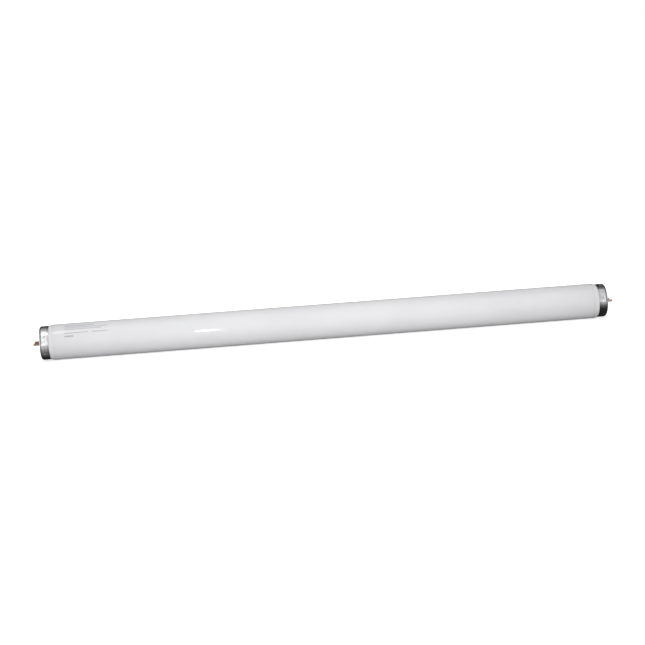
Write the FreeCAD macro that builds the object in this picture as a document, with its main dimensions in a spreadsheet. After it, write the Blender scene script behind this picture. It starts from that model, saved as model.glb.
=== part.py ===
import FreeCAD
import Part
import Sketcher
import math
import os

# Double-ended fluorescent tube with a two-pin cap at each end.
# The tube lies along X with its middle at the origin, +Z is up, and lengths are in millimetres.
# An end piece is drawn with x as the depth behind the cap's face, and then turned to face its own end.
# A pin or a lead is drawn on its own axis, with x as the depth behind its outer tip.

# Driving sizes: name, value, meaning.
SIZES = [
    ("face_to_face", 589.8, "length between the faces of the two caps"),
    ("glass_od", 36.5, "outside diameter of the glass"),
    ("shoulder_radius", 8.0, "outward curve where the glass draws in"),
    ("neck_fillet", 1.5, "inward curve between the shoulder and the neck"),
    ("neck_seat", 1.65, "straight length of neck that the cement grips"),
    ("end_round", 1.2, "rounding of the neck's end"),
    ("seal_land", 2.4, "flat ring between the neck's rounding and the funnel"),
    ("funnel_depth", 16.0, "depth of the stem's funnel behind the neck's end"),
    ("stem_margin", 2.4, "room round the wires at the bottom of the funnel"),
    ("exhaust_dia", 4.4, "diameter of the exhaust tube"),
    ("exhaust_recess", 1.5, "depth of the exhaust tip behind the neck's end"),
    ("cap_step", 0.95, "how far the cap lies inside the outline of the glass"),
    ("cap_wall", 0.45, "sheet thickness of the cap shell"),
    ("rim_radius", 2.6, "outside radius of the rim round the cap's face"),
    ("face_width", 5.0, "radial width of the cap's face, rim included"),
    ("lip_radius", 0.6, "outside radius of the lip curled in at the glass"),
    ("lip_angle", 50.0, "degrees that the lip is curled through"),
    ("lip_tuck", 0.5, "how far the neck's curve starts behind the lip"),
    ("cement_thickness", 0.45, "radial thickness of the cement"),
    ("disc_edge", 0.5, "straight edge of the insulating disc behind its bevel"),
    ("disc_clearance", 0.2, "radial play of the disc in the shell"),
    ("dimple_tool_radius", 1.5, "radius of the ball that stakes the shell"),
    ("dimple_depth", 0.9, "depth of a staked dimple"),
    ("dimple_play", 0.1, "axial play between the dimples and the disc"),
    ("seat_gap", 0.4, "axial gap between the dimples and the cement"),
    ("dimple_count", 6, "dimples round each cap"),
    ("right_cap_turn", 12.0, "degrees that the right shell is turned on the tube's axis"),
    ("pin_spacing", 12.7, "distance between the axes of the two pins"),
    ("pin_dia", 2.35, "diameter of a pin"),
    ("pin_length", 6.9, "pin beyond the cap's face, without its weld bead"),
    ("pin_wall", 0.425, "wall of the hollow pin"),
    ("pin_tip_wall", 0.5, "thickness of the pin's closed tip"),
    ("pin_tip_land", 0.075, "flat of the tip round the weld bead"),
    ("pin_clearance", 0.05, "radial play of the pin in the disc"),
    ("collar_lip", 0.425, "how far the collar in front of the disc stands out from the pin"),
    ("collar_thickness", 0.65, "thickness of the collar"),
    ("rivet_lip", 0.6, "how far the rivet head behind the disc stands out from the pin"),
    ("rivet_thickness", 0.6, "thickness of the rivet head"),
    ("wire_dia", 0.6, "diameter of a lead wire"),
    ("wire_clearance", 0.1, "radial play of the wire in the pin's tip"),
    ("wire_straight", 1.2, "straight wire between the rivet and the bend"),
    ("wire_bend_radius", 5.0, "centre-line radius of the wire's bends"),
    ("wire_offset", 1.6, "how far inside the pin's axis the wire leaves the glass"),
    ("bead_lap", 0.1, "how far the weld bead laps the hole in the tip"),
    ("bead_height", 0.2, "height of the weld bead on the tip"),
]

# Sizes that follow from the driving ones: name and formula.
DERIVED = [
    ("glass_r", "Sizes.glass_od / 2"),
    ("cap_r", "glass_r - Sizes.cap_step"),
    ("cap_inner_r", "cap_r - Sizes.cap_wall"),
    ("neck_r", "cap_inner_r - Sizes.cement_thickness"),
    # Face of the cap shell.
    ("opening_r", "cap_r - Sizes.face_width"),
    ("rim_flat_r", "cap_r - Sizes.rim_radius"),
    ("rim_inner_radius", "Sizes.rim_radius - Sizes.cap_wall"),
    # Insulating disc, seated on the inside of the face.
    ("disc_r", "cap_inner_r - Sizes.disc_clearance"),
    ("disc_flat_r", "disc_r - rim_inner_radius"),
    ("disc_back", "Sizes.rim_radius + Sizes.disc_edge"),
    # Ball dimples, staked just behind the disc, with the centre of the ball outside the shell.
    ("dimple_centre_r", "cap_r - Sizes.dimple_depth + Sizes.dimple_tool_radius"),
    ("bump_radius", "Sizes.dimple_tool_radius + Sizes.cap_wall"),
    ("bump_top_r", "cap_r - Sizes.cap_wall / 2"),
    ("bump_top_angle", "asin((bump_top_r - dimple_centre_r) / bump_radius) / 1 deg"),
    ("bump_reach_disc", "sqrt(bump_radius^2 - (dimple_centre_r - disc_r)^2)"),
    ("bump_reach_shell", "sqrt(bump_radius^2 - (dimple_centre_r - cap_inner_r)^2)"),
    ("dimple_x", "disc_back + Sizes.dimple_play + bump_reach_disc"),
    # Seat of the neck in the cement, and the lip that closes the shell on the glass.
    ("seat_start", "dimple_x + bump_reach_shell + Sizes.seat_gap"),
    ("seat_end", "seat_start + Sizes.neck_seat"),
    ("lip_start", "seat_end + Sizes.lip_tuck"),
    ("lip_inner_radius", "Sizes.lip_radius - Sizes.cap_wall"),
    ("cap_length", "lip_start + Sizes.lip_radius * sin(Sizes.lip_angle)"),
    ("lip_outer_r", "cap_r - Sizes.lip_radius * (1 - cos(Sizes.lip_angle))"),
    ("lip_inner_end", "lip_start + lip_inner_radius * sin(Sizes.lip_angle)"),
    ("lip_inner_r", "cap_inner_r - lip_inner_radius * (1 - cos(Sizes.lip_angle))"),
    # Pins.
    ("face_x", "Sizes.face_to_face / 2"),
    ("pin_offset", "Sizes.pin_spacing / 2"),
    ("pin_r", "Sizes.pin_dia / 2"),
    ("pin_hole_r", "pin_r + Sizes.pin_clearance"),
    ("pin_bore_r", "pin_r - Sizes.pin_wall"),
    ("pin_tip_x", "face_x + Sizes.pin_length"),
    ("collar_r", "pin_r + Sizes.collar_lip"),
    ("collar_back", "Sizes.pin_length + Sizes.cap_wall"),
    ("collar_front", "collar_back - Sizes.collar_thickness"),
    ("rivet_r", "pin_r + Sizes.rivet_lip"),
    ("rivet_front", "Sizes.pin_length + disc_back"),
    ("rivet_back", "rivet_front + Sizes.rivet_thickness"),
    # Lead wires, from the weld bead on the pin's tip to the bottom of the glass funnel.
    ("wire_r", "Sizes.wire_dia / 2"),
    ("wire_hole_r", "wire_r + Sizes.wire_clearance"),
    ("bead_r", "wire_hole_r + Sizes.bead_lap"),
    ("bead_radius", "(bead_r^2 + Sizes.bead_height^2) / (2 * Sizes.bead_height)"),
    ("bead_tip_x", "pin_tip_x + Sizes.bead_height"),
    ("pin_tip_flat_r", "bead_r + Sizes.pin_tip_land"),
    ("pin_tip_round", "pin_r - pin_tip_flat_r"),
    ("wire_bend_cos", "1 - Sizes.wire_offset / (2 * Sizes.wire_bend_radius)"),
    ("wire_bend_run", "Sizes.wire_bend_radius * sqrt(1 - wire_bend_cos^2)"),
    ("wire_bend_start", "Sizes.bead_height + rivet_back + Sizes.wire_straight"),
    ("wire_bend_middle", "wire_bend_start + wire_bend_run"),
    ("wire_bend_end", "wire_bend_middle + wire_bend_run"),
    ("wire_half_offset", "Sizes.wire_offset / 2"),
    # Glass, with x counted from the middle of the tube.
    ("neck_round_x", "face_x - seat_start"),
    ("neck_end_x", "neck_round_x + Sizes.end_round"),
    ("neck_start_x", "neck_round_x - Sizes.neck_seat"),
    ("shoulder_cos", "1 - (glass_r - neck_r) / (Sizes.shoulder_radius + Sizes.neck_fillet)"),
    ("shoulder_sin", "sqrt(1 - shoulder_cos^2)"),
    ("inflection_x", "neck_start_x - Sizes.neck_fillet * shoulder_sin"),
    ("inflection_r", "neck_r + Sizes.neck_fillet * (1 - shoulder_cos)"),
    ("shoulder_x", "inflection_x - Sizes.shoulder_radius * shoulder_sin"),
    ("seal_outer_r", "neck_r - Sizes.end_round"),
    ("funnel_mouth_r", "seal_outer_r - Sizes.seal_land"),
    ("funnel_bottom_x", "neck_end_x - Sizes.funnel_depth"),
    ("wire_end", "bead_tip_x - funnel_bottom_x"),
    ("stem_r", "pin_offset - Sizes.wire_offset + wire_r + Sizes.stem_margin"),
    ("exhaust_r", "Sizes.exhaust_dia / 2"),
    ("exhaust_tip_x", "neck_end_x - Sizes.exhaust_recess"),
    ("exhaust_round_x", "exhaust_tip_x - exhaust_r"),
]

# A corner's coordinate that lies on an axis of the sketch.
ON_AXIS = None

# Which way an outline turns along an arc.
LEFT = 1
RIGHT = -1

# Sketch numbering: the origin, the two axes, and the points of an edge.
ROOT = -1
ROOT_POINT = 1
X_LINE = -1
Y_LINE = -2
START = 1
END = 2
CENTRE = 3

# Direction into the tube at each end, and the side of each pin.
ENDS = {"left": 1, "right": -1}
SIDES = {"front": -1, "rear": 1}

FULL_TURN = 360.0
SOUTH_POLE = -90.0
X_AXIS = FreeCAD.Vector(1, 0, 0)
NORMAL = FreeCAD.Vector(0, 0, 1)

doc = FreeCAD.newDocument("FluorescentTube")
sheet = doc.addObject("Spreadsheet::Sheet", "Sizes")
derived = doc.addObject("App::VarSet", "Derived")
size_names = {name for name, value, meaning in SIZES}


def fill_sizes():
    """Write the driving sizes to the sheet, and bind the sizes that follow from them."""
    for row, (name, value, meaning) in enumerate(SIZES, start=1):
        sheet.set(f"A{row}", name)
        sheet.set(f"B{row}", str(value))
        sheet.set(f"C{row}", meaning)
        sheet.setAlias(f"B{row}", name)
    doc.recompute()
    for name, formula in DERIVED:
        derived.addProperty("App::PropertyFloat", name)
        derived.setExpression(name, formula)
    doc.recompute()


def size(name):
    """The present value of a driving or derived size."""
    return sheet.get(name) if name in size_names else getattr(derived, name)


def path(name):
    """The expression that refers to a driving or derived size."""
    return f"Sizes.{name}" if name in size_names else f"Derived.{name}"


def origin_feature(body, role):
    """One of the body's own origin planes or axes."""
    return next(feature for feature in body.Origin.OriginFeatures if feature.Role == role)


def new_body(label):
    """An empty body with a name of its own."""
    body = doc.addObject("PartDesign::Body", label)
    body.Label = label
    return body


def new_sketch(body, plane, name):
    """An empty sketch on one of the body's origin planes."""
    sketch = body.newObject("Sketcher::SketchObject", name)
    sketch.AttachmentSupport = [(origin_feature(body, plane), "")]
    sketch.MapMode = "FlatFace"
    return sketch


def add_dimension(sketch, name, kind, *where):
    """Add a dimension to a sketch, bound to a named size."""
    index = sketch.addConstraint(Sketcher.Constraint(kind, *where, size(name)))
    sketch.setExpression(f"Constraints[{index}]", path(name))


def fix_point(sketch, edge, point, x_name, y_name):
    """Hold a point at named distances from the origin, or on an axis."""
    if x_name is ON_AXIS:
        sketch.addConstraint(Sketcher.Constraint("PointOnObject", edge, point, Y_LINE))
    else:
        add_dimension(sketch, x_name, "DistanceX", ROOT, ROOT_POINT, edge, point)
    if y_name is ON_AXIS:
        sketch.addConstraint(Sketcher.Constraint("PointOnObject", edge, point, X_LINE))
    else:
        add_dimension(sketch, y_name, "DistanceY", ROOT, ROOT_POINT, edge, point)


def corner_point(corner):
    """Where a named corner lies now."""
    x, y = (0.0 if name is ON_AXIS else size(name) for name in corner[:2])
    return FreeCAD.Vector(x, y, 0)


def arc_edge(start, end, radius, turn):
    """The short arc of a radius from one point to another, turning left or right."""
    chord = end - start
    rise = math.sqrt(radius ** 2 - (chord.Length / 2) ** 2)
    left = FreeCAD.Vector(-chord.y, chord.x, 0).normalize()
    centre = (start + end) / 2 + left * rise * turn
    first, last = (start, end) if turn == LEFT else (end, start)
    angles = [math.atan2(point.y - centre.y, point.x - centre.x) for point in (first, last)]
    return Part.ArcOfCircle(Part.Circle(centre, NORMAL, radius), *angles)


def draw_outline(sketch, corners, closed=True):
    """Draw an outline through named corners, with every corner and radius bound to its size.

    A corner is (x, y) after a straight edge, or (x, y, radius, turn) after an arc.
    """
    count = len(corners)
    edges = []
    for index in range(0 if closed else 1, count):
        corner = corners[index]
        start, end = corner_point(corners[index - 1]), corner_point(corner)
        first, last = START, END
        if len(corner) == 2:
            edge = sketch.addGeometry(Part.LineSegment(start, end))
        else:
            radius, turn = corner[2:]
            edge = sketch.addGeometry(arc_edge(start, end, size(radius), turn))
            add_dimension(sketch, radius, "Radius", edge)
            if turn == RIGHT:
                first, last = END, START
        edges.append((edge, first, last))
    for index, (edge, first, last) in enumerate(edges):
        if index > 0 or closed:
            before, _, before_last = edges[index - 1]
            sketch.addConstraint(Sketcher.Constraint("Coincident", before, before_last, edge, first))
    if not closed:
        edge, first, _ = edges[0]
        fix_point(sketch, edge, first, *corners[0][:2])
    for (edge, _, last), corner in zip(edges, corners if closed else corners[1:]):
        fix_point(sketch, edge, last, *corner[:2])


def draw_circle(sketch, radius_name, offset_name=ON_AXIS, side=1):
    """Draw a circle at the origin, or at a named distance to one side of it along the sketch's x axis."""
    offset = 0.0 if offset_name is ON_AXIS else size(offset_name) * side
    edge = sketch.addGeometry(Part.Circle(FreeCAD.Vector(offset, 0, 0), NORMAL, size(radius_name)))
    add_dimension(sketch, radius_name, "Radius", edge)
    if offset_name is ON_AXIS:
        sketch.addConstraint(Sketcher.Constraint("Coincident", edge, CENTRE, ROOT, ROOT_POINT))
        return
    sketch.addConstraint(Sketcher.Constraint("PointOnObject", edge, CENTRE, X_LINE))
    near, far = [(ROOT, ROOT_POINT), (edge, CENTRE)][::side]
    add_dimension(sketch, offset_name, "DistanceX", *near, *far)


def revolve(body, name, corners):
    """Turn a closed outline round the body's x axis."""
    sketch = new_sketch(body, "XY_Plane", f"{name}Outline")
    draw_outline(sketch, corners)
    turned = body.newObject("PartDesign::Revolution", name)
    turned.Profile = sketch
    turned.ReferenceAxis = (sketch, ["H_Axis"])
    turned.Angle = FULL_TURN
    doc.recompute()
    return turned


def facing(inward, y_way):
    """The turn that points a piece's x axis into the tube at its end, and its y axis to a side."""
    return FreeCAD.Rotation(
        FreeCAD.Vector(inward, 0, 0), FreeCAD.Vector(0, y_way, 0), FreeCAD.Vector(0, 0, inward * y_way), "XYZ"
    )


def place(body, rotation, **offsets):
    """Turn a body, and bind its place along each named axis to a formula."""
    body.Placement = FreeCAD.Placement(FreeCAD.Vector(), rotation)
    for axis, formula in offsets.items():
        body.setExpression(f"Placement.Base.{axis}", formula)


def glass_tube():
    """The sealed bulb: tube, shoulders, necks, and at each seal the stem's funnel and the exhaust tip."""
    body = new_body("glass_tube")
    half = revolve(body, "Half", [
        (ON_AXIS, ON_AXIS),
        (ON_AXIS, "glass_r"),
        ("shoulder_x", "glass_r"),
        ("inflection_x", "inflection_r", "shoulder_radius", RIGHT),
        ("neck_start_x", "neck_r", "neck_fillet", LEFT),
        ("neck_round_x", "neck_r"),
        ("neck_end_x", "seal_outer_r", "end_round", RIGHT),
        ("neck_end_x", "funnel_mouth_r"),
        ("funnel_bottom_x", "stem_r"),
        ("funnel_bottom_x", "exhaust_r"),
        ("exhaust_round_x", "exhaust_r"),
        ("exhaust_tip_x", ON_AXIS, "exhaust_r", RIGHT),
    ])
    both = body.newObject("PartDesign::Mirrored", "BothHalves")
    both.Originals = [half]
    both.MirrorPlane = (origin_feature(body, "YZ_Plane"), [""])
    body.Tip = both
    return body


def stake_dimples(body):
    """Ball dimples round the shell: a bump inside it for each dent outside."""
    bump = body.newObject("PartDesign::AdditiveSphere", "Bump")
    bump.Angle1 = SOUTH_POLE
    bump.setExpression("Angle2", path("bump_top_angle"))
    dent = body.newObject("PartDesign::SubtractiveSphere", "Dent")
    for ball, radius in ((bump, "bump_radius"), (dent, "dimple_tool_radius")):
        ball.setExpression("Radius", path(radius))
        ball.setExpression("Placement.Base.x", path("dimple_x"))
        ball.setExpression("Placement.Base.z", path("dimple_centre_r"))
    doc.recompute()
    ring = body.newObject("PartDesign::PolarPattern", "Staking")
    ring.Originals = [bump, dent]
    ring.Axis = (origin_feature(body, "X_Axis"), [""])
    ring.Angle = FULL_TURN
    ring.setExpression("Occurrences", path("dimple_count"))
    body.Tip = ring


def cap_shell(end, inward):
    """The drawn metal cup: open face, rounded rim, straight wall, staking dimples and curled lip."""
    body = new_body(f"{end}_cap_shell")
    revolve(body, "Cup", [
        (ON_AXIS, "opening_r"),
        (ON_AXIS, "rim_flat_r"),
        ("rim_radius", "cap_r", "rim_radius", RIGHT),
        ("lip_start", "cap_r"),
        ("cap_length", "lip_outer_r", "lip_radius", RIGHT),
        ("lip_inner_end", "lip_inner_r"),
        ("lip_start", "cap_inner_r", "lip_inner_radius", LEFT),
        ("rim_radius", "cap_inner_r"),
        ("cap_wall", "rim_flat_r", "rim_inner_radius", LEFT),
        ("cap_wall", "opening_r"),
    ])
    stake_dimples(body)
    turn = size("right_cap_turn") if end == "right" else 0.0
    place(body, FreeCAD.Rotation(X_AXIS, turn) * facing(inward, 1), x=f"{-inward} * Derived.face_x")
    return body


def insulating_disc(end, inward):
    """The pressed disc behind the cap's face, bevelled to clear the rim, with a hole for each pin."""
    body = new_body(f"{end}_insulator")
    disc = revolve(body, "Disc", [
        ("cap_wall", ON_AXIS),
        ("cap_wall", "disc_flat_r"),
        ("rim_radius", "disc_r"),
        ("disc_back", "disc_r"),
        ("disc_back", ON_AXIS),
    ])
    sketch = new_sketch(body, "YZ_Plane", "PinHoleOutline")
    for side in SIDES.values():
        draw_circle(sketch, "pin_hole_r", "pin_offset", side)
    holes = body.newObject("PartDesign::Pocket", "PinHoles")
    holes.Profile = sketch
    holes.Type = "ThroughAll"
    holes.SideType = "Symmetric"
    doc.recompute()
    if holes.Shape.Volume >= disc.Shape.Volume:
        raise RuntimeError(f"{body.Label}: the pin holes cut nothing")
    place(body, facing(inward, 1), x=f"{-inward} * Derived.face_x")
    return body


def cement_ring(end, inward):
    """The cement between the neck and the shell."""
    body = new_body(f"{end}_cement")
    revolve(body, "Ring", [
        ("seat_start", "neck_r"),
        ("seat_start", "cap_inner_r"),
        ("seat_end", "cap_inner_r"),
        ("seat_end", "neck_r"),
    ])
    place(body, facing(inward, 1), x=f"{-inward} * Derived.face_x")
    return body


def contact_pin(end, inward, name, side):
    """A hollow pin with a pierced tip, riveted in the disc between its collar and its inner head."""
    body = new_body(f"{end}_{name}_pin")
    revolve(body, "Pin", [
        (ON_AXIS, "wire_hole_r"),
        (ON_AXIS, "pin_tip_flat_r"),
        ("pin_tip_round", "pin_r", "pin_tip_round", RIGHT),
        ("collar_front", "pin_r"),
        ("collar_front", "collar_r"),
        ("collar_back", "collar_r"),
        ("collar_back", "pin_r"),
        ("rivet_front", "pin_r"),
        ("rivet_front", "rivet_r"),
        ("rivet_back", "rivet_r"),
        ("rivet_back", "pin_bore_r"),
        ("pin_tip_wall", "pin_bore_r"),
        ("pin_tip_wall", "wire_hole_r"),
    ])
    place(body, facing(inward, 1), x=f"{-inward} * Derived.pin_tip_x", y=f"{side} * Derived.pin_offset")
    return body


def lead_wire(end, inward, name, side):
    """A wire from the glass seal through its pin, closed by a weld bead on the tip."""
    body = new_body(f"{end}_{name}_lead")
    route = new_sketch(body, "XY_Plane", "Route")
    draw_outline(route, [
        ("bead_height", ON_AXIS),
        ("wire_bend_start", ON_AXIS),
        ("wire_bend_middle", "wire_half_offset", "wire_bend_radius", LEFT),
        ("wire_bend_end", "wire_offset", "wire_bend_radius", RIGHT),
        ("wire_end", "wire_offset"),
    ], closed=False)
    section = new_sketch(body, "YZ_Plane", "Section")
    section.setExpression("AttachmentOffset.Base.z", path("bead_height"))
    draw_circle(section, "wire_r")
    wire = body.newObject("PartDesign::AdditivePipe", "Wire")
    wire.Profile = section
    wire.Spine = route
    doc.recompute()
    revolve(body, "Bead", [
        (ON_AXIS, ON_AXIS),
        ("bead_height", "bead_r", "bead_radius", RIGHT),
        ("bead_height", ON_AXIS),
    ])
    place(body, facing(inward, -side), x=f"{-inward} * Derived.bead_tip_x", y=f"{side} * Derived.pin_offset")
    return body


def build_tube():
    """Every piece of the tube, as a list of bodies."""
    bodies = [glass_tube()]
    for end, inward in ENDS.items():
        bodies += [make(end, inward) for make in (cap_shell, insulating_disc, cement_ring)]
        for name, side in SIDES.items():
            bodies += [make(end, inward, name, side) for make in (contact_pin, lead_wire)]
    doc.recompute()
    return bodies


def check_model(bodies):
    """Stop if anything failed to build, or if a piece is not one sound solid."""
    for item in doc.Objects:
        if "Invalid" in item.State or "Error" in item.State:
            raise RuntimeError(f"{item.Label} failed: {item.State}")
    for body in bodies:
        if body.Shape.isNull() or not body.Shape.isValid() or len(body.Shape.Solids) != 1:
            raise RuntimeError(f"{body.Label} is not one sound solid")


fill_sizes()
pieces = build_tube()
check_model(pieces)
os.makedirs("parts", exist_ok=True)
for piece in pieces:
    piece.Shape.exportStep(f"parts/{piece.Label}.step")
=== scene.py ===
import math

import bmesh
import bpy
from mathutils import Matrix, Vector


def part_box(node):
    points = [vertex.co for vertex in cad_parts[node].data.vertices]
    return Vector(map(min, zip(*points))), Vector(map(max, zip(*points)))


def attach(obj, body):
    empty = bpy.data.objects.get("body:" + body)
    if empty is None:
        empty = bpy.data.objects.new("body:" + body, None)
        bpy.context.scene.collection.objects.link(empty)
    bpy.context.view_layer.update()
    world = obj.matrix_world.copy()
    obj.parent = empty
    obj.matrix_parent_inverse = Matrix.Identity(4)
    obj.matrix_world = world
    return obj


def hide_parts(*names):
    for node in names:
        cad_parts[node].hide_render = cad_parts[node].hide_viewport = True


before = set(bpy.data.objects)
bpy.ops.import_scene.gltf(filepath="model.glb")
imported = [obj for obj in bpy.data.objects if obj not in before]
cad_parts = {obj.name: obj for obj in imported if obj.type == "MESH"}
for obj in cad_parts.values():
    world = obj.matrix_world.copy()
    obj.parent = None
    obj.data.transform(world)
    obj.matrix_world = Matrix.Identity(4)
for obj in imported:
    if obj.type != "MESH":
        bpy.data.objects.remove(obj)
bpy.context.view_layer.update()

# A white fluorescent tube with an aluminium cap and two hollow pins at each end.
# Lengths are in metres. The tube lies along X, +Z is up, and the photograph looks along +Y.

# Sizes read from the frame.
GLASS_END, GLASS_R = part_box("glass_tube")[1].x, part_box("glass_tube")[1].y
FACE_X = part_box("right_cap_shell")[1].x
CAP_LENGTH = FACE_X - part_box("right_cap_shell")[0].x
CEMENT_START = FACE_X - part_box("right_cement")[1].x
PIN_TIP_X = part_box("right_front_pin")[1].x
PIN_LENGTH = PIN_TIP_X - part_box("right_front_pin")[0].x
PIN_OFFSET = sum(corner.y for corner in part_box("right_rear_pin")) / 2

# Glass: shoulder, neck, and the seal hidden in the cap.
SHOULDER_RADIUS = 0.008
NECK_FILLET = 0.0015
NECK_SEAT = 0.00165
END_ROUND = 0.0012
NECK_R = 0.0164
SEAL_LAND = 0.0024
FUNNEL_DEPTH = 0.016
STEM_R = 0.00745
EXHAUST_R = 0.0022
EXHAUST_RECESS = 0.0015

# Cap shell: drawn sheet with a rounded rim, a curled lip and ball dimples.
CAP_R = 0.0173
CAP_WALL = 0.00045
RIM_RADIUS = 0.0026
OPENING_R = 0.0123
SHEET_EDGE = 0.0001
LIP_RADIUS = 0.0006
LIP_ANGLE = 50.0
DIMPLE_BALL = 0.0015
DIMPLE_DEPTH = 0.0009
DIMPLE_SOFTNESS = 0.0001
DIMPLE_GAP = 0.0004
DIMPLE_COUNT = 6
DIMPLE_START = {"left": 90.0, "right": 102.0}

# The ball presses in the sheet of the wall, down to this depth below its outside.
PRESSED_SHEET = CAP_WALL * 1.01

# Hollow pin, from its pierced tip to the rivet head behind the disc.
PIN_R = 0.001175
PIN_BORE_R = 0.00075
TIP_HOLE_R = 0.0004
TIP_WALL = 0.0005
TIP_ROUND = 0.0006
COLLAR_R = 0.0016
COLLAR_FRONT = 0.0067
COLLAR_BACK = 0.00735
RIVET_R = 0.001775
RIVET_THICKNESS = 0.0006
PIN_EDGE = 0.0001

# Plain ink bars near the left cap: distance from its face, length, height, and angle above the front.
INK_LIFT = 0.00002
INK_GAP = INK_LIFT / 4
INK_BARS = [
    (0.026, 0.030, 0.0011, 66.0),
    (0.026, 0.044, 0.0008, 57.0),
    (0.026, 0.038, 0.0008, 50.0),
    (0.026, 0.024, 0.0008, 36.0),
    (0.054, 0.016, 0.0008, 36.0),
    (0.026, 0.009, 0.0016, 25.0),
]

# Facets: segments round each piece, rings along its straight runs, and steps round its arcs.
GLASS_SEGMENTS = 256
CAP_SEGMENTS = 480
PIN_SEGMENTS = 96
GLASS_HALF_RINGS = 30
WALL_RINGS = 34
SHANK_RINGS = 8
SHORT_RINGS = 4
FEW_RINGS = 2
RIM_STEPS = 18
INNER_RIM_STEPS = 10
SHOULDER_STEPS = 14
TIP_STEPS = 10
LIP_STEPS = 8
ROUND_STEPS = 6
EDGE_STEPS = 4
INK_ROWS = 6
INK_COLUMNS = 2
SHARP_ANGLE = math.radians(40)
SAME_POINT = 1e-7

ALONG_X, ALONG_Y, ALONG_Z, FROM_AXIS = (1, 0, 0), (0, 1, 0), (0, 0, 1), (0, 1, 1)
ENDS = {"left": -1, "right": 1}
SIDES = {"front": -1, "rear": 1}


def arc(centre, radius, start, end, steps):
    """Points along a circle in a profile, from one angle to another, in degrees."""
    angles = [math.radians(start + (end - start) * step / steps) for step in range(steps + 1)]
    return [(centre[0] + radius * math.cos(a), centre[1] + radius * math.sin(a)) for a in angles]


def straight(start, end, steps=1):
    """Evenly spaced points from one end of a line to the other."""
    shares = [step / steps for step in range(steps + 1)]
    return [(start[0] + (end[0] - start[0]) * s, start[1] + (end[1] - start[1]) * s) for s in shares]


def joined(*runs):
    """One list of points from several runs, each point once."""
    points = []
    for point in (point for run in runs for point in run):
        if not points or math.dist(point, points[-1]) > SAME_POINT:
            points.append(point)
    return points


def new_piece(name, vertices, faces):
    """A smooth mesh that belongs to the tube, with sharp edges where its faces meet at an angle."""
    mesh = bpy.data.meshes.new(name)
    mesh.from_pydata(vertices, [], faces)
    shaper = bmesh.new()
    shaper.from_mesh(mesh)
    bmesh.ops.recalc_face_normals(shaper, faces=shaper.faces)
    shaper.to_mesh(mesh)
    shaper.free()
    mesh.shade_smooth()
    mesh.set_sharp_from_angle(angle=SHARP_ANGLE)
    piece = bpy.data.objects.new(name, mesh)
    bpy.context.scene.collection.objects.link(piece)
    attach(piece, "root")
    return piece


def lathe(name, profile, segments, closed=True, axis_y=0.0, radius_at=None):
    """Turn a profile of (x, radius) points round a line along X, on which an open profile has its ends."""
    vertices, rings = [], []
    for x, radius in profile:
        turns = range(segments) if radius > 0 else range(1)
        rings.append([len(vertices) + turn for turn in turns])
        for turn in turns:
            angle = math.tau * turn / segments
            r = radius_at(x, radius, angle) if radius_at else radius
            vertices.append((x, axis_y + r * math.cos(angle), r * math.sin(angle)))
    faces = []
    for first, second in zip(rings, rings[1:] + (rings[:1] if closed else [])):
        for turn in range(segments):
            pair = (turn, (turn + 1) % segments)
            corners = [first[t % len(first)] for t in pair]
            corners += [second[t % len(second)] for t in reversed(pair)]
            faces.append(list(dict.fromkeys(corners)))
    return new_piece(name, vertices, faces)


def glass_half():
    """Profile of the right half of the bulb, from its middle to the tip of the exhaust tube."""
    round_x = GLASS_END - END_ROUND
    neck_x = round_x - NECK_SEAT
    bend = math.acos(1 - (GLASS_R - NECK_R) / (SHOULDER_RADIUS + NECK_FILLET))
    shoulder_x = neck_x - (SHOULDER_RADIUS + NECK_FILLET) * math.sin(bend)
    turn = math.degrees(bend)
    funnel_x = GLASS_END - FUNNEL_DEPTH
    mouth = (GLASS_END, NECK_R - END_ROUND - SEAL_LAND)
    exhaust_x = GLASS_END - EXHAUST_RECESS - EXHAUST_R
    return joined(
        straight((0, GLASS_R), (shoulder_x, GLASS_R), GLASS_HALF_RINGS),
        arc((shoulder_x, GLASS_R - SHOULDER_RADIUS), SHOULDER_RADIUS, 90, 90 - turn, SHOULDER_STEPS),
        arc((neck_x, NECK_R + NECK_FILLET), NECK_FILLET, 270 - turn, 270, ROUND_STEPS),
        straight((neck_x, NECK_R), (round_x, NECK_R)),
        arc((round_x, NECK_R - END_ROUND), END_ROUND, 90, 0, ROUND_STEPS),
        straight((GLASS_END, NECK_R - END_ROUND), mouth),
        straight(mouth, (funnel_x, STEM_R), SHORT_RINGS),
        straight((funnel_x, EXHAUST_R), (exhaust_x, EXHAUST_R), SHORT_RINGS),
        arc((exhaust_x, 0), EXHAUST_R, 90, 0, ROUND_STEPS)[:-1],
        [(exhaust_x + EXHAUST_R, 0.0)],
    )


def build_glass():
    """The sealed bulb in one piece."""
    half = glass_half()
    profile = [(-x, radius) for x, radius in reversed(half)] + half[1:]
    glass = lathe("glass_bulb", profile, GLASS_SEGMENTS, closed=False)
    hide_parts("glass_tube")
    return glass


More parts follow.
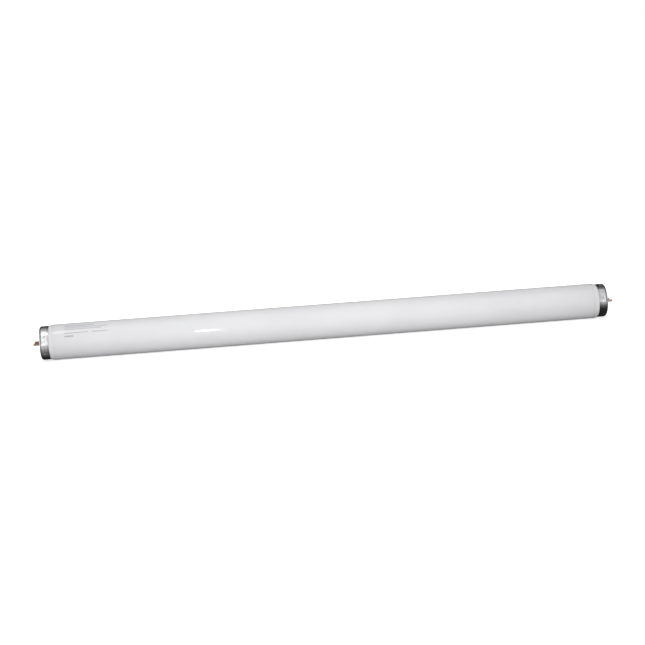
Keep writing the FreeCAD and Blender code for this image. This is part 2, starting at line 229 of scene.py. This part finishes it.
def cap_profile():
    """Profile of a cap shell, with x as the depth behind its face."""
    flat_r = CAP_R - RIM_RADIUS
    inner_r = CAP_R - CAP_WALL
    lip_x = CAP_LENGTH - LIP_RADIUS * math.sin(math.radians(LIP_ANGLE))
    lip_centre = (lip_x, CAP_R - LIP_RADIUS)
    edge_r = OPENING_R + SHEET_EDGE
    return joined(
        arc((SHEET_EDGE, edge_r), SHEET_EDGE, 270, 180, EDGE_STEPS),
        straight((0, edge_r), (0, flat_r), SHORT_RINGS),
        arc((RIM_RADIUS, flat_r), RIM_RADIUS, 180, 90, RIM_STEPS),
        straight((RIM_RADIUS, CAP_R), (lip_x, CAP_R), WALL_RINGS),
        arc(lip_centre, LIP_RADIUS, 90, 90 - LIP_ANGLE, LIP_STEPS),
        arc(lip_centre, LIP_RADIUS - CAP_WALL, 90 - LIP_ANGLE, 90, EDGE_STEPS),
        straight((lip_x, inner_r), (RIM_RADIUS, inner_r), WALL_RINGS),
        arc((RIM_RADIUS, flat_r), RIM_RADIUS - CAP_WALL, 90, 180, INNER_RIM_STEPS),
        straight((CAP_WALL, flat_r), (CAP_WALL, edge_r), FEW_RINGS),
        arc((CAP_WALL - SHEET_EDGE, edge_r), SHEET_EDGE, 0, -90, EDGE_STEPS),
    )


def dimpled(start_angle):
    """A function that gives the shell's radius, pressed in by a ball at each staking dimple."""
    rise = DIMPLE_BALL - DIMPLE_DEPTH
    reach = math.sqrt((DIMPLE_BALL + CAP_WALL) ** 2 - (rise + CAP_WALL) ** 2)
    depth_x = CEMENT_START - DIMPLE_GAP - reach
    spacing = math.tau / DIMPLE_COUNT

    def radius_at(depth, radius, angle):
        wall = CAP_R - radius
        if wall > PRESSED_SHEET:
            return radius
        turn = (angle - math.radians(start_angle) + spacing / 2) % spacing - spacing / 2
        away = math.hypot(depth - depth_x, CAP_R * turn)
        ball = math.sqrt(max((DIMPLE_BALL + wall) ** 2 - away ** 2, 0.0)) - rise - wall
        return radius - DIMPLE_SOFTNESS * math.log1p(math.exp(ball / DIMPLE_SOFTNESS))

    return radius_at


def build_cap_shell(end, way):
    """The drawn cup at one end, staked on its disc by a ring of dimples."""
    radius_at = dimpled(DIMPLE_START[end])
    profile = [(way * (FACE_X - depth), radius) for depth, radius in cap_profile()]
    shell = lathe(
        f"{end}_cap", profile, CAP_SEGMENTS,
        radius_at=lambda x, radius, angle: radius_at(FACE_X - way * x, radius, angle),
    )
    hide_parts(f"{end}_cap_shell")
    return shell


def pin_profile():
    """Profile of a hollow pin, with x as the depth behind its tip."""
    tip_r = PIN_R - TIP_ROUND
    rivet_x = PIN_LENGTH - RIVET_THICKNESS
    return joined(
        straight((TIP_WALL, TIP_HOLE_R), (0, TIP_HOLE_R)),
        straight((0, TIP_HOLE_R), (0, tip_r)),
        arc((TIP_ROUND, tip_r), TIP_ROUND, 180, 90, TIP_STEPS),
        straight((TIP_ROUND, PIN_R), (COLLAR_FRONT - PIN_EDGE, PIN_R), SHANK_RINGS),
        arc((COLLAR_FRONT - PIN_EDGE, PIN_R + PIN_EDGE), PIN_EDGE, 270, 360, EDGE_STEPS),
        arc((COLLAR_FRONT + PIN_EDGE, COLLAR_R - PIN_EDGE), PIN_EDGE, 180, 90, EDGE_STEPS),
        straight((COLLAR_BACK, COLLAR_R), (COLLAR_BACK, PIN_R)),
        straight((COLLAR_BACK, PIN_R), (rivet_x, PIN_R), FEW_RINGS),
        straight((rivet_x, PIN_R), (rivet_x, RIVET_R)),
        arc((PIN_LENGTH - PIN_EDGE, RIVET_R - PIN_EDGE), PIN_EDGE, 90, 0, EDGE_STEPS),
        straight((PIN_LENGTH, PIN_BORE_R), (TIP_WALL, PIN_BORE_R), SHORT_RINGS),
    )


def build_pin(end, way, name, side):
    """One contact pin."""
    profile = [(way * (PIN_TIP_X - depth), radius) for depth, radius in pin_profile()]
    pin = lathe(f"{end}_{name}_contact", profile, PIN_SEGMENTS, axis_y=side * PIN_OFFSET)
    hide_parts(f"{end}_{name}_pin")
    return pin


def ink_points(start, length, height, angle):
    """Points of one ink bar, row by row: its upper side, then its lower side."""
    half_turn = height / 2 / GLASS_R
    points = []
    for lift in (INK_LIFT, 0.0):
        radius = GLASS_R + INK_GAP + lift
        for row in range(INK_ROWS + 1):
            turn = math.radians(angle) + half_turn * (2 * row / INK_ROWS - 1)
            for column in range(INK_COLUMNS + 1):
                x = -FACE_X + start + length * column / INK_COLUMNS
                points.append((x, -radius * math.cos(turn), radius * math.sin(turn)))
    return points


def ink_faces(base):
    """Faces of one ink bar, closed round its rim, whose first point has a given number."""
    columns = INK_COLUMNS + 1
    layer = columns * (INK_ROWS + 1)
    faces = []
    for row in range(INK_ROWS):
        for column in range(INK_COLUMNS):
            corner = base + row * columns + column
            quad = [corner, corner + 1, corner + columns + 1, corner + columns]
            faces.append(quad)
            faces.append([vertex + layer for vertex in reversed(quad)])
    rim = [base + column for column in range(columns)]
    rim += [base + row * columns + INK_COLUMNS for row in range(1, INK_ROWS + 1)]
    rim += [base + INK_ROWS * columns + column for column in reversed(range(INK_COLUMNS))]
    rim += [base + row * columns for row in reversed(range(1, INK_ROWS))]
    for first, second in zip(rim, rim[1:] + rim[:1]):
        faces.append([second, first, first + layer, second + layer])
    return faces


def build_ink():
    """The ink bars, each a thin curved plate lying on the glass."""
    vertices, faces = [], []
    for bar in INK_BARS:
        faces += ink_faces(len(vertices))
        vertices += ink_points(*bar)
    return new_piece("ink_bars", vertices, faces)


# Sockets of the nodes that blend and grade. Those of the blend have numbers, since their names repeat.
BLENDED_VECTORS, VECTOR_BLEND = (4, 5), 1
BLENDED_COLOURS, COLOUR_BLEND = (6, 7), 2
GRADE_LIMITS = ("From Min", "From Max", "To Min", "To Max")


class Finish:
    """A procedural material: a principled shader fed by textures in the tube's own coordinates."""

    def __init__(self, name, **sockets):
        self.material = bpy.data.materials.new(name)
        self.material.use_nodes = True
        self.tree = self.material.node_tree
        self.tree.nodes.clear()
        self.shader = self.add("ShaderNodeBsdfPrincipled")
        output = self.add("ShaderNodeOutputMaterial")
        self.tree.links.new(self.shader.outputs["BSDF"], output.inputs["Surface"])
        self.place = self.add("ShaderNodeTexCoord").outputs["Object"]
        for socket, value in sockets.items():
            self.feed(socket, value)

    def add(self, kind, **settings):
        """A node of a kind, with its settings."""
        node = self.tree.nodes.new(kind)
        for name, value in settings.items():
            setattr(node, name, value)
        return node

    def put(self, socket, value):
        """Link a socket to another, or set its value."""
        if isinstance(value, bpy.types.NodeSocket):
            self.tree.links.new(value, socket)
        else:
            socket.default_value = value

    def feed(self, socket, value):
        """Set or link a socket of the shader."""
        self.put(self.shader.inputs[socket], value)

    def scaled(self, scale):
        """The tube's own coordinates, scaled along each axis."""
        mapping = self.add("ShaderNodeMapping")
        self.put(mapping.inputs["Vector"], self.place)
        mapping.inputs["Scale"].default_value = scale
        return mapping.outputs["Vector"]

    def noise(self, scale, detail, stretch=(1, 1, 1)):
        """Cloudy noise with so many features a metre, drawn out along an axis by a smaller stretch."""
        noise = self.add("ShaderNodeTexNoise")
        self.put(noise.inputs["Vector"], self.scaled(stretch))
        noise.inputs["Scale"].default_value = scale
        noise.inputs["Detail"].default_value = detail
        return noise.outputs["Fac"]

    def distance(self, scale):
        """Distance from the middle of the tube in scaled coordinates."""
        length = self.add("ShaderNodeVectorMath", operation="LENGTH")
        self.put(length.inputs[0], self.scaled(scale))
        return length.outputs["Value"]

    def product(self, first, second):
        """Two values multiplied."""
        node = self.add("ShaderNodeMath", operation="MULTIPLY")
        self.put(node.inputs[0], first)
        self.put(node.inputs[1], second)
        return node.outputs["Value"]

    def ramp(self, value, low, high, to_low=0.0, to_high=1.0, kind="SMOOTHSTEP"):
        """A step from one value to another as the input goes from low to high."""
        node = self.add("ShaderNodeMapRange", interpolation_type=kind)
        for socket, number in zip(GRADE_LIMITS, (low, high, to_low, to_high)):
            self.put(node.inputs[socket], number)
        self.put(node.inputs["Value"], value)
        return node.outputs["Result"]

    def mix(self, share, first, second):
        """A colour between two others, which may be colours or sockets."""
        node = self.add("ShaderNodeMix", data_type="RGBA")
        self.put(node.inputs["Factor"], share)
        for number, colour in zip(BLENDED_COLOURS, (first, second)):
            linked = isinstance(colour, bpy.types.NodeSocket)
            self.put(node.inputs[number], colour if linked else (*colour, 1.0))
        return node.outputs[COLOUR_BLEND]

    def eased_normal(self, share):
        """The surface's normal, turned by a share towards that of a plain drum round the tube's axis."""
        outward = self.add("ShaderNodeVectorMath", operation="NORMALIZE")
        self.put(outward.inputs[0], self.scaled(FROM_AXIS))
        blend = self.add("ShaderNodeMix", data_type="VECTOR")
        self.put(blend.inputs["Factor"], share)
        normals = (self.place.node.outputs["Normal"], outward.outputs["Vector"])
        for number, normal in zip(BLENDED_VECTORS, normals):
            self.put(blend.inputs[number], normal)
        turned = self.add("ShaderNodeVectorTransform", vector_type="NORMAL")
        turned.convert_from = "OBJECT"
        turned.convert_to = "WORLD"
        self.put(turned.inputs["Vector"], blend.outputs[VECTOR_BLEND])
        return turned.outputs["Vector"]

    def bump(self, height, depth, strength, normal=None):
        """Press a texture into the surface, to a depth in metres."""
        node = self.add("ShaderNodeBump")
        node.inputs["Strength"].default_value = strength
        node.inputs["Distance"].default_value = depth
        self.put(node.inputs["Height"], height)
        if normal:
            self.put(node.inputs["Normal"], normal)
        self.feed("Normal", node.outputs["Normal"])


# Colours of the glass: its white coat with brighter clouds and a grain, a greyer band near its ends, and
# on the shoulder a painted shade line and a painted highlight ring.
COAT = (0.812, 0.812, 0.828)
BRIGHT_COAT = (0.842, 0.842, 0.853)
COAT_GRAIN = (0.80, 0.80, 0.815)
GREYED_COAT = (0.76, 0.76, 0.775)
# Painted shade line and painted highlight ring on the glass's shoulder.
PAINTED_SHOULDER_SHADE = (0.70, 0.70, 0.715)
PAINTED_SHOULDER_HIGHLIGHT = (0.91, 0.91, 0.92)

# Colours of the cap's sheet, and painted shade for its lip and its dimples.
SHEET = (0.93, 0.93, 0.94)
DULL_SHEET = (0.80, 0.80, 0.815)
# Painted shade on the cap's curled lip.
PAINTED_LIP_SHADE = (0.52, 0.52, 0.535)
# Painted shade in the dimples, which also dims their glint.
PAINTED_DIMPLE_SHADE = (0.82, 0.82, 0.83)

# Clean and tarnished colours of the pins, of which the left ones are darker, and of their tips.
PIN_TONES = {
    "left": ((0.54, 0.31, 0.25), (0.40, 0.22, 0.18)),
    "right": ((0.98, 0.78, 0.68), (0.84, 0.62, 0.52)),
}
WELDED_TIP = (0.74, 0.64, 0.60)

# Colours of the wires, the discs, the cement and the ink.
WIRE = (0.66, 0.65, 0.64)
DARK_WIRE = (0.50, 0.48, 0.46)
BOARD = (0.33, 0.205, 0.13)
BOARD_FIBRE = (0.24, 0.145, 0.092)
BOARD_SPECK = (0.14, 0.085, 0.055)
CEMENT = (0.72, 0.62, 0.46)
CEMENT_PORE = (0.55, 0.46, 0.33)
INK = (0.43, 0.43, 0.45)
WORN_INK = (0.60, 0.60, 0.62)

# Bands in which a finish changes, as offsets from a place: where the change starts and where it ends.
GREY_BAND = (-0.06, -0.01)
# Bands of the painted shade line and the painted highlight ring on the glass's shoulder.
PAINTED_SHADE_BAND = (-0.0115, -0.009)
PAINTED_HIGHLIGHT_BAND = (-0.009, -0.005)
# Band of the painted shade on the cap's lip.
PAINTED_LIP_BAND = (0.0008, 0.0022)
PLAIN_BAND = (0.0005, 0.0008)
RIM_BAND = (-0.0002, 0.0)
DENT_BAND = (-0.00025, -0.00003)
TIP_BAND = (-0.0016, -0.0005)

# Share by which the shading of the dimples is eased.
DIMPLE_EASE = 0.6


def band(place, offsets):
    """Limits of a band beside a place along the tube or out from its axis."""
    return [place + offset for offset in offsets]


def coated_glass():
    """Glossy glass over a white powder coat, uneven and greyer near the ends, with painted shade and a
    painted highlight on the shoulder.
    """
    finish = Finish("coated_glass", IOR=1.5)
    along = finish.distance(ALONG_X)
    clouds = finish.ramp(finish.noise(scale=26, detail=3), low=0.3, high=0.7)
    grain = finish.ramp(finish.noise(scale=2600, detail=1), low=0.35, high=0.65, to_high=0.3)
    ends = finish.ramp(along, *band(GLASS_END, GREY_BAND), to_high=0.6)
    # Painted shade: a thin darker line where the shoulder starts.
    line = finish.ramp(along, *band(GLASS_END, PAINTED_SHADE_BAND), to_high=0.4)
    # Painted highlight: a brighter ring on the shoulder, lifting the shade at the neck.
    shoulder = finish.ramp(along, *band(GLASS_END, PAINTED_HIGHLIGHT_BAND))
    coat = finish.mix(clouds, COAT, BRIGHT_COAT)
    powder = finish.mix(grain, coat, COAT_GRAIN)
    greyed = finish.mix(ends, powder, GREYED_COAT)
    shade_lined = finish.mix(line, greyed, PAINTED_SHOULDER_SHADE)
    finish.feed("Base Color", finish.mix(shoulder, shade_lined, PAINTED_SHOULDER_HIGHLIGHT))
    smears = finish.noise(scale=90, detail=4)
    finish.feed("Roughness", finish.ramp(smears, low=0.3, high=0.7, to_low=0.05, to_high=0.09))
    waves = finish.noise(scale=40, detail=1, stretch=(0.4, 1, 1))
    finish.bump(waves, depth=0.00004, strength=0.5)
    return finish.material


def drawn_aluminium():
    """Bright drawn sheet with fine marks round the cap and dull blotches; painted shade on the lip and in
    the soft dimples.
    """
    finish = Finish("drawn_aluminium", Metallic=1.0)
    along = finish.distance(ALONG_X)
    lip_x = FACE_X - CAP_LENGTH
    marks = finish.noise(scale=150, detail=3, stretch=(60, 1, 1))
    blotches = finish.ramp(finish.noise(scale=420, detail=4), low=0.35, high=0.68)
    # Painted shade: the lip's curl is darkened in colour, mixed in below.
    lip = finish.ramp(along, *band(lip_x, PAINTED_LIP_BAND), to_low=0.75, to_high=0.0)
    wall = finish.ramp(along, *band(FACE_X - RIM_RADIUS, RIM_BAND), to_low=1.0, to_high=0.0)
    plain = finish.ramp(along, *band(lip_x, PLAIN_BAND))
    dent = finish.ramp(finish.distance(FROM_AXIS), *band(CAP_R, DENT_BAND), to_low=1.0, to_high=0.0)
    dimple = finish.product(finish.product(wall, plain), dent)
    sheet = finish.mix(blotches, SHEET, DULL_SHEET)
    lip_shaded = finish.mix(lip, sheet, PAINTED_LIP_SHADE)
    # Painted shade: the dimples are darker in colour.
    finish.feed("Base Color", finish.mix(dimple, lip_shaded, PAINTED_DIMPLE_SHADE))
    polish = finish.ramp(blotches, low=0.0, high=1.0, to_low=0.15, to_high=0.24)
    finish.feed("Roughness", finish.ramp(dimple, low=0.0, high=1.0, to_low=polish, to_high=0.4))
    eased = finish.eased_normal(finish.product(dimple, DIMPLE_EASE))
    finish.bump(marks, depth=0.00003, strength=0.35, normal=eased)
    return finish.material


def pin_brass(end):
    """Coppery brass, tarnished in patches, with a grey tip where the wire was welded."""
    clean, tarnished = PIN_TONES[end]
    finish = Finish(f"{end}_pin_brass", Metallic=1.0)
    patches = finish.ramp(finish.noise(scale=900, detail=4), low=0.35, high=0.65)
    tip = finish.ramp(finish.distance(ALONG_X), *band(PIN_TIP_X, TIP_BAND), to_high=0.6)
    body = finish.mix(patches, clean, tarnished)
    finish.feed("Base Color", finish.mix(tip, body, WELDED_TIP))
    finish.feed("Roughness", finish.ramp(patches, low=0.0, high=1.0, to_low=0.28, to_high=0.45))
    scuffs = finish.noise(scale=900, detail=2, stretch=(0.15, 1, 1))
    finish.bump(scuffs, depth=0.00004, strength=0.4)
    return finish.material


def lead_metal():
    """Plated wire and its weld bead, satin and slightly rough."""
    finish = Finish("lead_metal", Metallic=1.0)
    ripple = finish.noise(scale=2400, detail=3)
    finish.feed("Base Color", finish.mix(ripple, WIRE, DARK_WIRE))
    finish.feed("Roughness", finish.ramp(ripple, low=0.3, high=0.7, to_low=0.3, to_high=0.45))
    finish.bump(ripple, depth=0.00003, strength=0.5)
    return finish.material


def pressed_board():
    """Brown pressed board with darker fibres and a fine grain."""
    finish = Finish("pressed_board")
    fibres = finish.ramp(finish.noise(scale=700, detail=5, stretch=(1, 0.35, 1)), low=0.4, high=0.62)
    specks = finish.ramp(finish.noise(scale=2600, detail=1), low=0.62, high=0.7)
    board = finish.mix(fibres, BOARD, BOARD_FIBRE)
    finish.feed("Base Color", finish.mix(specks, board, BOARD_SPECK))
    finish.feed("Roughness", finish.ramp(fibres, low=0.0, high=1.0, to_low=0.5, to_high=0.66))
    finish.bump(fibres, depth=0.00004, strength=0.5)
    return finish.material


def basing_cement():
    """Matt beige cement with pores."""
    finish = Finish("basing_cement")
    pores = finish.ramp(finish.noise(scale=1800, detail=4), low=0.4, high=0.65)
    finish.feed("Base Color", finish.mix(pores, CEMENT, CEMENT_PORE))
    finish.feed("Roughness", finish.ramp(pores, low=0.0, high=1.0, to_low=0.75, to_high=0.9))
    finish.bump(pores, depth=0.00008, strength=0.6)
    return finish.material


def grey_ink():
    """Thin grey ink, paler where it printed lightly."""
    finish = Finish("grey_ink")
    wear = finish.ramp(finish.noise(scale=1500, detail=3), low=0.35, high=0.7)
    finish.feed("Base Color", finish.mix(wear, INK, WORN_INK))
    finish.feed("Roughness", finish.ramp(wear, low=0.0, high=1.0, to_low=0.3, to_high=0.45))
    return finish.material


def dress(pieces, material):
    """Give pieces one material."""
    for piece in pieces:
        piece.data.materials.clear()
        piece.data.materials.append(material)


def build_tube():
    """Make the fine pieces, and dress them and the nodes that stay."""
    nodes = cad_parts
    dress([build_glass()], coated_glass())
    dress([build_ink()], grey_ink())
    dress([build_cap_shell(end, way) for end, way in ENDS.items()], drawn_aluminium())
    for end, way in ENDS.items():
        dress([build_pin(end, way, name, side) for name, side in SIDES.items()], pin_brass(end))
    dress([nodes[f"{end}_{name}_lead"] for end in ENDS for name in SIDES], lead_metal())
    dress([nodes[f"{end}_insulator"] for end in ENDS], pressed_board())
    dress([nodes[f"{end}_cement"] for end in ENDS], basing_cement())


# Camera, as fitted to the photograph.
CAMERA_LENS = 85.8
CAMERA_SENSOR = 36.0
CAMERA_DISTANCE = 1.6
CAMERA_AZIMUTH = -4.26
CAMERA_ELEVATION = 9.642
CAMERA_ROLL = -3.685
CAMERA_AIM = Vector((-0.0041, 0.0, -0.00098))

# Surround: the strength at which it lights the tube, and at which it is seen.
WHITE = (1.0, 1.0, 1.0, 1.0)
BLACK = (0.0, 0.0, 0.0, 1.0)
SKY_LIGHT = 0.50
SKY_SEEN = 1.0

# Floor: its glow is graded from near the tube to far from it, over a flattened distance.
FLOOR_Z = -GLASS_R
FLOOR_HALF = 6.0
FLOOR_COLOUR = (0.75, 0.75, 0.75, 1.0)
FLOOR_SCALE = (0.33, 1, 0)
FLOOR_SPAN = (0.05, 0.6)
FLOOR_GLOW = (0.62, 0.80)

# Places along the tube where the cards end or meet.
CARD_FAR_X = 1.0
CARD_LEFT_X = -0.62
CARD_RIGHT_X = 0.7
CARD_MEET_X = 0.2
LOW_MEET_X = -0.285
FRONT_END_X = -0.38
TOP_END_X = 0.47

# Edges of the cards across the tube: the lower and the upper one, each as y and z.
CARD_LOW_Z = FLOOR_Z + 0.001
CARD_TOP_Z = 0.8
BEHIND = ((0.45, CARD_LOW_Z), (0.0, 0.75))
FRONT = ((-0.5, CARD_LOW_Z), (-0.1, 0.7))
ABOVE = (FRONT[1], BEHIND[1])
BELOW = ((-0.15, CARD_LOW_Z), (0.03, CARD_LOW_Z))
WIDE_BELOW = (FRONT[0], BELOW[1])

# Front and back edge of the cards that stand beyond the ends of the tube.
LEFT_WIDTH = (-0.45, 0.45)
RIGHT_WIDTH = (-0.5, 0.45)

# Soft lights, which don't show in glossy surfaces: place, size and power.
SOFT = {
    "key": (Vector((-0.05, -0.68, 0.32)), (0.8, 0.3), 2.76),
    "top": (Vector((-0.05, 0.1, 1.2)), (1.2, 0.8), 1.44),
    "back": (Vector((0.0, 0.8, 0.38)), (0.9, 0.4), 3.3),
}

# Small lights that show in the glass: form, x, angle above the front, distance, size and power.
REFLECTED = {
    "streak": ("ELLIPSE", -0.124, 10.0, 1.0, (0.032, 0.26), 0.3),
    "strip": ("RECTANGLE", -0.287, 41.0, 1.0, (0.058, 0.2), 0.28),
    "line": ("RECTANGLE", 0.275, 6.0, 0.4, (0.018, 0.046), 0.006),
}


def direction(azimuth, elevation):
    """Unit vector from the tube towards a place round it: azimuth 0 is in front, at -Y."""
    a, e = math.radians(azimuth), math.radians(elevation)
    return Vector((math.sin(a) * math.cos(e), -math.cos(a) * math.cos(e), math.sin(e)))


def camera_place():
    """Where the camera stands."""
    return CAMERA_AIM + direction(CAMERA_AZIMUTH, CAMERA_ELEVATION) * CAMERA_DISTANCE


def build_camera():
    """The photograph's viewpoint, rolled so that the tube climbs to the right."""
    back = direction(CAMERA_AZIMUTH, CAMERA_ELEVATION)
    right = Vector((0, 0, 1)).cross(back).normalized()
    level = Matrix((right, back.cross(right), back)).transposed()
    data = bpy.data.cameras.new("camera")
    data.lens = CAMERA_LENS
    data.sensor_width = CAMERA_SENSOR
    camera = bpy.data.objects.new("camera", data)
    turned = level @ Matrix.Rotation(math.radians(CAMERA_ROLL), 3, "Z")
    camera.matrix_world = Matrix.Translation(camera_place()) @ turned.to_4x4()
    bpy.context.scene.collection.objects.link(camera)
    bpy.context.scene.camera = camera


def seen_directly(tree):
    """A socket that is 1 for rays from the camera and for those that glossy or clear surfaces send on."""
    path = tree.nodes.new("ShaderNodeLightPath")
    total = path.outputs["Is Camera Ray"]
    for kind in ("Is Glossy Ray", "Is Transmission Ray"):
        larger = tree.nodes.new("ShaderNodeMath")
        larger.operation = "MAXIMUM"
        tree.links.new(total, larger.inputs[0])
        tree.links.new(path.outputs[kind], larger.inputs[1])
        total = larger.outputs["Value"]
    return total


def build_world():
    """A white surround, which lights the tube at a plainer level than it is seen."""
    world = bpy.data.worlds.new("surround")
    world.use_nodes = True
    tree = world.node_tree
    strength = tree.nodes.new("ShaderNodeMapRange")
    strength.inputs["To Min"].default_value = SKY_LIGHT
    strength.inputs["To Max"].default_value = SKY_SEEN
    tree.links.new(seen_directly(tree), strength.inputs["Value"])
    background = tree.nodes["Background"]
    background.inputs["Color"].default_value = WHITE
    tree.links.new(strength.outputs["Result"], background.inputs["Strength"])
    bpy.context.scene.world = world


def stage_finish(name, colour, scale, span, glow):
    """Dull stage material that glows where it is seen directly, graded by a scaled distance."""
    finish = Finish(name, Roughness=1.0)
    finish.feed("Base Color", colour)
    finish.feed("Specular IOR Level", 0.0)
    finish.feed("Emission Color", WHITE)
    grade = finish.ramp(finish.distance(scale), *span, *glow, kind="LINEAR")
    finish.feed("Emission Strength", finish.product(grade, seen_directly(finish.tree)))
    return finish.material


def stage_plane(name, corners, material):
    """A flat piece of the stage."""
    mesh = bpy.data.meshes.new(name)
    mesh.from_pydata(corners, [], [[0, 1, 2, 3]])
    plane = bpy.data.objects.new(name, mesh)
    plane.data.materials.append(material)
    bpy.context.scene.collection.objects.link(plane)
    return plane


def hide_from(thing, *rays):
    """Keep a card or a light out of the sight of some kinds of ray."""
    for ray in rays:
        setattr(thing, f"visible_{ray}", False)


def build_floor():
    """The pale floor that the tube lies on, lifted to white where it is seen, with its shadow kept."""
    signs = ((-1, -1), (1, -1), (1, 1), (-1, 1))
    corners = [(x * FLOOR_HALF, y * FLOOR_HALF, FLOOR_Z) for x, y in signs]
    stage_plane("floor", corners, stage_finish("floor", FLOOR_COLOUR, FLOOR_SCALE, FLOOR_SPAN, FLOOR_GLOW))


def strip(left, right, edges):
    """Corners of a card that runs along the tube between two edges."""
    lower, upper = edges
    return [(left, *lower), (right, *lower), (right, *upper), (left, *upper)]


def upright(x, width):
    """Corners of a card that stands across the line of the tube."""
    front, back = width
    return [(x, front, CARD_LOW_Z), (x, back, CARD_LOW_Z), (x, back, CARD_TOP_Z), (x, front, CARD_TOP_Z)]


# Cards: corners, direction of the grade, the distances between which it runs, and its glow at both.
CARDS = {
    "card_behind_left": (strip(-CARD_FAR_X, CARD_MEET_X, BEHIND), ALONG_Z, (0.2, 0.85), (0.02, 0.9)),
    "card_behind_right": (strip(CARD_MEET_X, CARD_FAR_X, BEHIND), ALONG_Z, (0.22, 0.85), (0.01, 0.3)),
    "card_low_left": (strip(CARD_LEFT_X, LOW_MEET_X, BELOW), ALONG_Y, (0.01, 0.048), (0.02, 0.5)),
    "card_low_middle": (strip(LOW_MEET_X, CARD_MEET_X, BELOW), ALONG_Y, (0.003, 0.076), (0.01, 0.95)),
    "card_low_right": (strip(CARD_MEET_X, CARD_RIGHT_X, WIDE_BELOW), ALONG_Y, (0.024, 0.088), (0.02, 0.4)),
    "card_left": (upright(CARD_LEFT_X, LEFT_WIDTH), FROM_AXIS, (0.1, 0.3), (0.55, 0.22)),
    "card_right": (upright(CARD_RIGHT_X, RIGHT_WIDTH), FROM_AXIS, (0.1, 0.3), (0.4, 0.16)),
    "card_top_right": (strip(TOP_END_X, CARD_RIGHT_X, ABOVE), ALONG_X, (0.47, 0.7), (0.38, 0.3)),
    "card_front_left": (strip(CARD_LEFT_X, FRONT_END_X, FRONT), ALONG_X, (0.38, 0.5), (1.0, 0.3)),
    "card_front_right": (strip(CARD_MEET_X, CARD_RIGHT_X, FRONT), ALONG_X, (0.3, 0.58), (1.0, 0.2)),
}


def build_cards():
    """Graded cards that only show in glossy surfaces."""
    for name, (corners, scale, span, glow) in CARDS.items():
        card = stage_plane(name, corners, stage_finish(name, BLACK, scale, span, glow))
        hide_from(card, "camera", "diffuse", "shadow", "transmission")


def area_light(name, place, aim, size, power, form="RECTANGLE"):
    """A soft light that faces a point."""
    data = bpy.data.lights.new(name, "AREA")
    data.shape = form
    data.size, data.size_y = size
    data.energy = power
    light = bpy.data.objects.new(name, data)
    turn = (aim - place).to_track_quat("-Z", "Y").to_matrix().to_4x4()
    light.matrix_world = Matrix.Translation(place) @ turn
    bpy.context.scene.collection.objects.link(light)
    return light


def mirrored(x, angle, distance):
    """The place that the glass mirrors to the camera at an x and an angle above the front."""
    normal = direction(0, angle)
    point = normal * GLASS_R + Vector((x, 0, 0))
    to_camera = (camera_place() - point).normalized()
    return point + (2 * normal.dot(to_camera) * normal - to_camera) * distance


def build_light():
    """Soft light from the front, top and back, and small lights that only show as reflections."""
    for name, (place, size, power) in SOFT.items():
        light = area_light(name, place, Vector((0, 0, 0)), size, power)
        hide_from(light, "camera", "glossy")
    for name, (form, x, angle, distance, size, power) in REFLECTED.items():
        light = area_light(name, mirrored(x, angle, distance), Vector((x, 0, 0)), size, power, form)
        hide_from(light, "camera", "diffuse", "transmission")


build_tube()
build_floor()
build_cards()
build_light()
build_world()
build_camera()
bpy.context.scene.view_settings.view_transform = "Standard"
